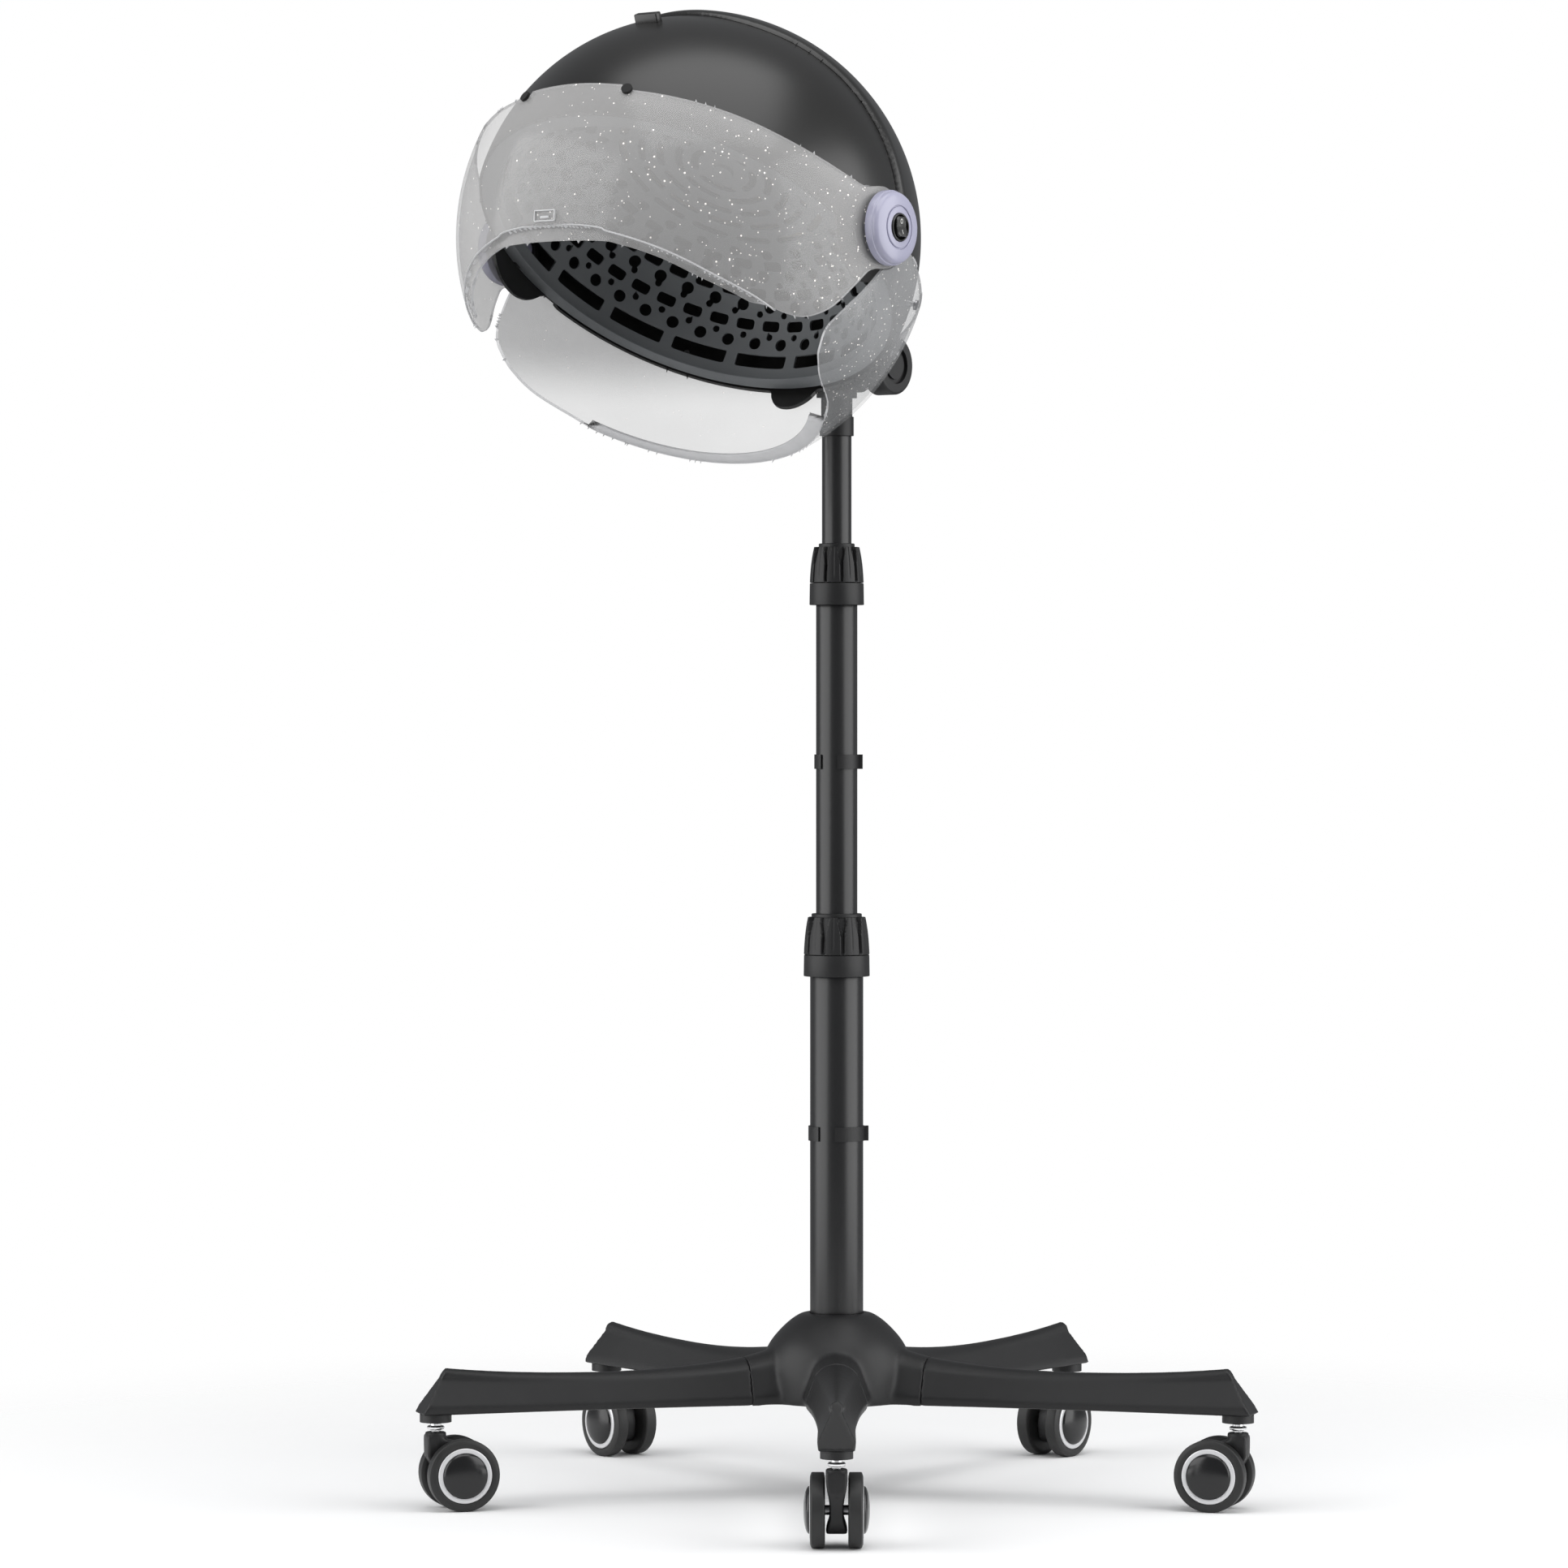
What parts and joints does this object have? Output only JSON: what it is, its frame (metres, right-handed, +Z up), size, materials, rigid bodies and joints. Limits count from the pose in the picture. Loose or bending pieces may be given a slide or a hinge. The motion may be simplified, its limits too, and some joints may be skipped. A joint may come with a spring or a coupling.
{
  "type": "hood hair dryer",
  "caption": "Salon hood hair dryer on a rolling five-leg stand: height-adjustable column, tilting hood, flip-up smoked visor and perforated liner.",
  "frame": {"origin": "on the floor, on the column's axis", "axes": "+Z up, -Y towards the front of the hood, +X towards the side with the ionic switch"},
  "size_m": [0.703, 0.7589, 1.2365],
  "materials": {
    "black_hood_plastic": "satin-gloss moulding",
    "black_nylon": "fine-grained satin moulding",
    "black_powder_coat": "satin powder coat on steel tube",
    "black_rubber": "matt",
    "chrome": "polished plating",
    "glide_plastic": "natural acetal",
    "grey_liner": "heat-resistant moulding",
    "lavender_plastic": "gloss moulding",
    "mica": "mica board",
    "motor_steel": "lacquered laminations",
    "resistance_wire": "oxidised alloy wire",
    "smoked_glitter": "clear smoked polycarbonate with glitter",
    "wheel_plastic": "gloss cap and tread",
    "zinc_steel": "plated steel"
  },
  "bodies": {
    "stand": {"base_hub": "black_nylon", "legs": "black_nylon", "leg_bolts": "zinc_steel", "caster_sockets": "black_nylon", "caster_stems": "chrome", "lower_tube": "black_powder_coat", "lower_collar": "black_nylon", "lower_cord_clip": "black_nylon"},
    "lower_lock": {"lower_lock_nut": "black_nylon"},
    "middle_stage": {"middle_tube": "black_powder_coat", "middle_tube_glide": "glide_plastic", "upper_collar": "black_nylon", "middle_cord_clip": "black_nylon"},
    "upper_lock": {"upper_lock_nut": "black_nylon"},
    "upper_stage": {"upper_tube": "black_powder_coat", "upper_tube_glide": "glide_plastic"},
    "head": {"tilt_head": "black_nylon", "tilt_bolt": "zinc_steel"},
    "tilt_knob": {"tilt_knob": "black_nylon"},
    "hood": {"hood_bracket": "black_nylon", "front_shell": "black_hood_plastic", "rear_shell": "black_hood_plastic", "intake_grille": "black_hood_plastic", "cord_gland": "black_rubber", "inner_basket": "grey_liner", "rear_visor": "smoked_glitter", "hood_screws": "zinc_steel", "right_hub": "lavender_plastic", "left_hub": "lavender_plastic", "switch_body": "black_hood_plastic", "fan_motor": "motor_steel", "heater_frame": "mica", "heater_coil": "resistance_wire", "ioniser": "black_nylon"},
    "visor": {"front_visor": "smoked_glitter", "visor_studs": "black_rubber"},
    "switch_rocker": {"switch_rocker": "black_hood_plastic"},
    "timer_knob": {"timer_knob": "black_hood_plastic"},
    "heat_knob": {"heat_knob": "black_hood_plastic"},
    "fan": {"fan_impeller": "black_nylon"},
    "caster_1": {"caster_1_fork": "black_nylon", "caster_1_axle": "zinc_steel"},
    "caster_1_wheel_left": {"caster_1_wheel_left": "wheel_plastic"},
    "caster_1_wheel_right": {"caster_1_wheel_right": "wheel_plastic"},
    "caster_2": {"caster_2_fork": "black_nylon", "caster_2_axle": "zinc_steel"},
    "caster_2_wheel_left": {"caster_2_wheel_left": "wheel_plastic"},
    "caster_2_wheel_right": {"caster_2_wheel_right": "wheel_plastic"},
    "caster_3": {"caster_3_fork": "black_nylon", "caster_3_axle": "zinc_steel"},
    "caster_3_wheel_left": {"caster_3_wheel_left": "wheel_plastic"},
    "caster_3_wheel_right": {"caster_3_wheel_right": "wheel_plastic"},
    "caster_4": {"caster_4_fork": "black_nylon", "caster_4_axle": "zinc_steel"},
    "caster_4_wheel_left": {"caster_4_wheel_left": "wheel_plastic"},
    "caster_4_wheel_right": {"caster_4_wheel_right": "wheel_plastic"},
    "caster_5": {"caster_5_fork": "black_nylon", "caster_5_axle": "zinc_steel"},
    "caster_5_wheel_left": {"caster_5_wheel_left": "wheel_plastic"},
    "caster_5_wheel_right": {"caster_5_wheel_right": "wheel_plastic"}
  },
  "joints": [
    {"name": "lower_lock_turn", "type": "hinge", "parent": "stand", "child": "lower_lock", "pos_m": [0, 0, 0.475], "axis": [0, 0, 1], "range_deg": [0, 90]},
    {"name": "middle_slide", "type": "slide", "parent": "stand", "child": "middle_stage", "axis": [0, 0, 1], "range_m": [-0.115, 0.15]},
    {"name": "upper_lock_turn", "type": "hinge", "parent": "middle_stage", "child": "upper_lock", "pos_m": [0, 0, 0.79], "axis": [0, 0, 1], "range_deg": [0, 90]},
    {"name": "upper_slide", "type": "slide", "parent": "middle_stage", "child": "upper_stage", "axis": [0, 0, 1], "range_m": [-0.09, 0.18]},
    {"name": "head_swivel", "type": "hinge", "parent": "upper_stage", "child": "head", "pos_m": [0, 0, 0.905], "axis": [0, 0, 1], "range_deg": [-90, 90]},
    {"name": "tilt_knob_turn", "type": "hinge", "parent": "head", "child": "tilt_knob", "pos_m": [0.05, 0, 0.954], "axis": [1, 0, 0], "range_deg": [0, 180]},
    {"name": "hood_tilt", "type": "hinge", "parent": "head", "child": "hood", "pos_m": [0, 0, 0.954], "axis": [-1, 0, 0], "range_deg": [-20, 30]},
    {"name": "visor_flip", "type": "hinge", "parent": "hood", "child": "visor", "pos_m": [0, -0.2, 1.05], "axis": [-1, 0, 0], "range_deg": [0, 69]},
    {"name": "ionic_switch", "type": "hinge", "parent": "hood", "child": "switch_rocker", "pos_m": [0.2056, -0.2, 1.05], "axis": [0, 1, 0], "range_deg": [0, 14]},
    {"name": "timer_turn", "type": "hinge", "parent": "hood", "child": "timer_knob", "pos_m": [0, -0.2, 1.05], "axis": [-0.3771, 0.847, 0.3746], "range_deg": [0, 300]},
    {"name": "heat_turn", "type": "hinge", "parent": "hood", "child": "heat_knob", "pos_m": [0, -0.2, 1.05], "axis": [0.3771, 0.847, 0.3746], "range_deg": [0, 270]},
    {"name": "fan_spin", "type": "hinge", "parent": "hood", "child": "fan", "pos_m": [0, -0.2, 1.05], "axis": [0, 0.5736, 0.8192], "continuous": true},
    {"name": "caster_1_swivel", "type": "hinge", "parent": "stand", "child": "caster_1", "pos_m": [0, 0.35, 0.055], "axis": [0, 0, 1], "continuous": true},
    {"name": "caster_1_left_spin", "type": "hinge", "parent": "caster_1", "child": "caster_1_wheel_left", "pos_m": [0, 0.33, 0.03], "axis": [-1, 0, 0], "continuous": true},
    {"name": "caster_1_right_spin", "type": "hinge", "parent": "caster_1", "child": "caster_1_wheel_right", "pos_m": [0, 0.33, 0.03], "axis": [-1, 0, 0], "continuous": true},
    {"name": "caster_2_swivel", "type": "hinge", "parent": "stand", "child": "caster_2", "pos_m": [-0.33287, 0.10816, 0.055], "axis": [0, 0, 1], "continuous": true},
    {"name": "caster_2_left_spin", "type": "hinge", "parent": "caster_2", "child": "caster_2_wheel_left", "pos_m": [-0.31385, 0.10198, 0.03], "axis": [-0.309, -0.9511, 0], "continuous": true},
    {"name": "caster_2_right_spin", "type": "hinge", "parent": "caster_2", "child": "caster_2_wheel_right", "pos_m": [-0.31385, 0.10198, 0.03], "axis": [-0.309, -0.9511, 0], "continuous": true},
    {"name": "caster_3_swivel", "type": "hinge", "parent": "stand", "child": "caster_3", "pos_m": [-0.20572, -0.28316, 0.055], "axis": [0, 0, 1], "continuous": true},
    {"name": "caster_3_left_spin", "type": "hinge", "parent": "caster_3", "child": "caster_3_wheel_left", "pos_m": [-0.19397, -0.26698, 0.03], "axis": [0.809, -0.5878, 0], "continuous": true},
    {"name": "caster_3_right_spin", "type": "hinge", "parent": "caster_3", "child": "caster_3_wheel_right", "pos_m": [-0.19397, -0.26698, 0.03], "axis": [0.809, -0.5878, 0], "continuous": true},
    {"name": "caster_4_swivel", "type": "hinge", "parent": "stand", "child": "caster_4", "pos_m": [0.20572, -0.28316, 0.055], "axis": [0, 0, 1], "continuous": true},
    {"name": "caster_4_left_spin", "type": "hinge", "parent": "caster_4", "child": "caster_4_wheel_left", "pos_m": [0.19397, -0.26698, 0.03], "axis": [0.809, 0.5878, 0], "continuous": true},
    {"name": "caster_4_right_spin", "type": "hinge", "parent": "caster_4", "child": "caster_4_wheel_right", "pos_m": [0.19397, -0.26698, 0.03], "axis": [0.809, 0.5878, 0], "continuous": true},
    {"name": "caster_5_swivel", "type": "hinge", "parent": "stand", "child": "caster_5", "pos_m": [0.33287, 0.10816, 0.055], "axis": [0, 0, 1], "continuous": true},
    {"name": "caster_5_left_spin", "type": "hinge", "parent": "caster_5", "child": "caster_5_wheel_left", "pos_m": [0.31385, 0.10198, 0.03], "axis": [-0.309, 0.9511, 0], "continuous": true},
    {"name": "caster_5_right_spin", "type": "hinge", "parent": "caster_5", "child": "caster_5_wheel_right", "pos_m": [0.31385, 0.10198, 0.03], "axis": [-0.309, 0.9511, 0], "continuous": true}
  ]
}
